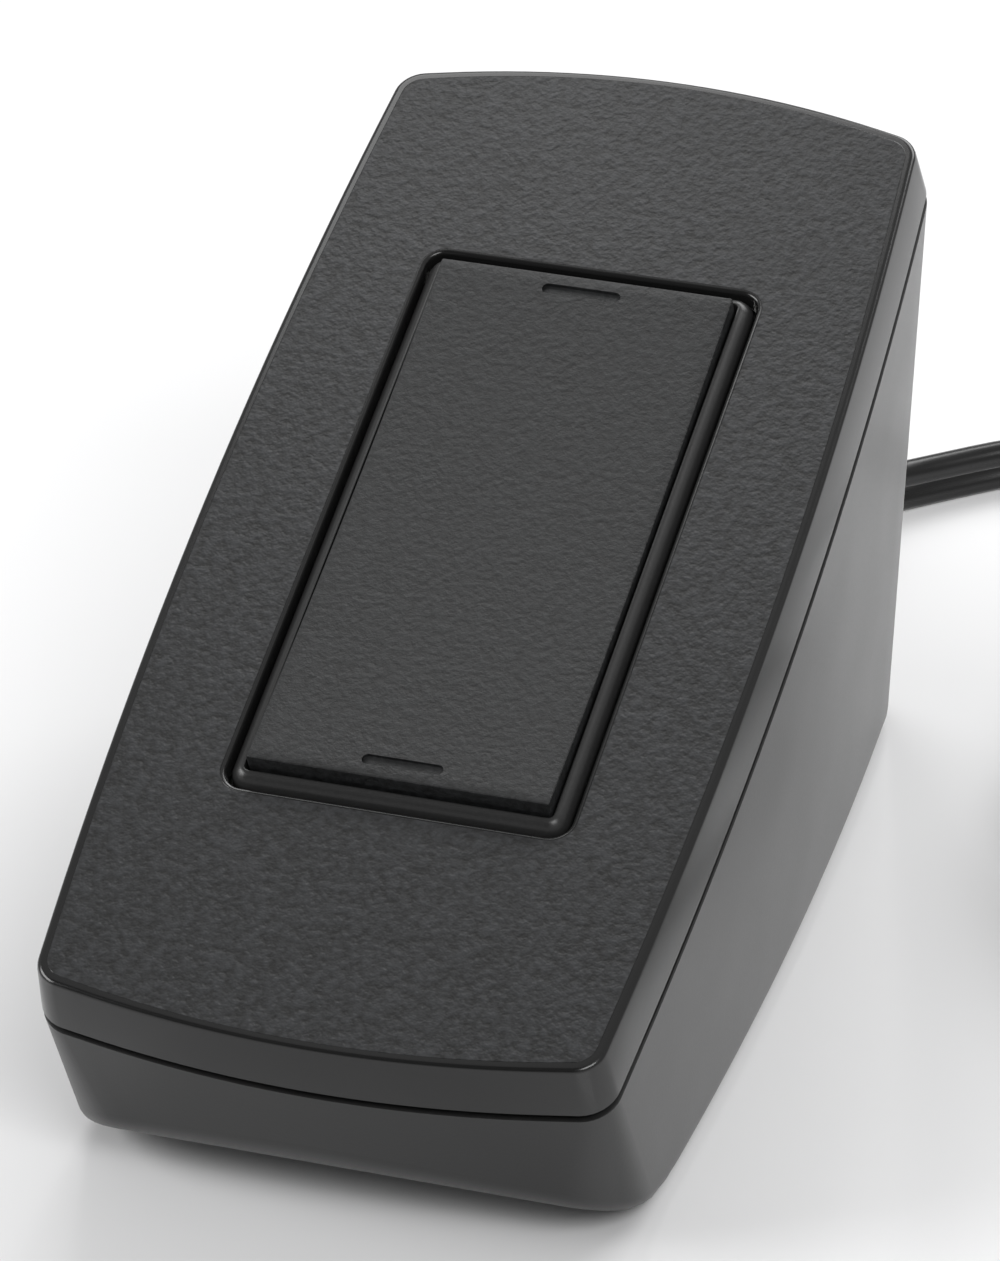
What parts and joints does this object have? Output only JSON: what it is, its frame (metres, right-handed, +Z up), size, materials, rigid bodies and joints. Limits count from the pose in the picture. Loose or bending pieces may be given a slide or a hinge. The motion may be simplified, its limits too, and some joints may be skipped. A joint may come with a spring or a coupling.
{
  "type": "wireless rocker controller",
  "caption": "Desk-top wedge controller with a sloping cover, one large centre-off rocker paddle, a sealed radio and relay unit inside and a flat mains cord with a two-blade plug.",
  "frame": {"origin": "middle of the housing's box on the surface that its feet stand on", "axes": "+Z up, +Y along the housing to its tall rear end, where the cord leaves, +X to its right"},
  "size_m": [0.1425, 0.1621, 0.066],
  "materials": {
    "cover_plastic": "fine spark-textured moulded plastic, charcoal",
    "base_plastic": "smooth satin moulded plastic, charcoal",
    "rocker_plastic": "semi-gloss moulded plastic, near black",
    "inner_plastic": "plain moulded plastic",
    "zinc_steel": "zinc-plated steel",
    "plug_brass": "bright stamped brass",
    "foot_rubber": "matt rubber",
    "board_green": "green circuit board with solder mask",
    "cord_vinyl": "black satin flexible vinyl",
    "tie_black": "matt black tie",
    "winding_tape": "yellow winding tape",
    "can_blue": "dark blue sleeve",
    "wire_white": "white moulded nylon and wire cover"
  },
  "bodies": {
    "housing": {"top_cover": "cover_plastic", "base_housing": "base_plastic", "foot_front_left": "foot_rubber", "foot_front_right": "foot_rubber", "foot_rear_left": "foot_rubber", "foot_rear_right": "foot_rubber", "case_screw_front_left": "zinc_steel", "case_screw_front_right": "zinc_steel", "case_screw_rear_left": "zinc_steel", "case_screw_rear_right": "zinc_steel", "rocker_frame": "rocker_plastic", "pivot_rod": "zinc_steel", "device_yoke": "zinc_steel", "yoke_screw_upper": "zinc_steel", "yoke_screw_lower": "zinc_steel", "device_tray": "inner_plastic", "control_board": "board_green", "radio_module": "zinc_steel", "radio_antenna": "wire_white", "switch_body_upper": "inner_plastic", "switch_body_lower": "inner_plastic", "power_board": "board_green", "board_screw_1": "zinc_steel", "board_screw_2": "zinc_steel", "board_screw_3": "zinc_steel", "board_screw_4": "zinc_steel", "transformer_core": "zinc_steel", "transformer_winding": "winding_tape", "terminal_block": "inner_plastic", "board_connector": "wire_white", "relay_module": "can_blue", "filter_capacitor": "can_blue", "line_fuse": "wire_white", "board_cable": "wire_white", "lead_line": "cord_vinyl", "lead_neutral": "wire_white", "strain_relief": "cord_vinyl", "cord_run": "cord_vinyl", "cord_tail": "cord_vinyl", "cord_coil": "cord_vinyl", "cord_tie": "tie_black", "plug_body": "cord_vinyl", "plug_blade_left": "plug_brass", "plug_blade_right": "plug_brass"},
    "rocker": {"rocker_paddle": "rocker_plastic"},
    "plunger_upper": {"switch_plunger_upper": "wire_white"},
    "plunger_lower": {"switch_plunger_lower": "wire_white"}
  },
  "joints": [
    {"name": "rocker_tilt", "type": "hinge", "parent": "housing", "child": "rocker", "pos_m": [0, 0.00006, 0.0423], "axis": [1, 0, 0], "range_deg": [-3, 3], "stiffness_Nm_per_rad": 0.6},
    {"name": "plunger_upper_slide", "type": "slide", "parent": "housing", "child": "plunger_upper", "axis": [0, -0.3616, 0.9323], "range_m": [-0.0013, 0.0013]},
    {"name": "plunger_lower_slide", "type": "slide", "parent": "housing", "child": "plunger_lower", "axis": [0, -0.3616, 0.9323], "range_m": [-0.0013, 0.0013]}
  ],
  "couplings": [
    {"joint": "plunger_upper_slide", "follows": "rocker_tilt", "m_per_rad": 0.024},
    {"joint": "plunger_lower_slide", "follows": "rocker_tilt", "m_per_rad": -0.024}
  ]
}
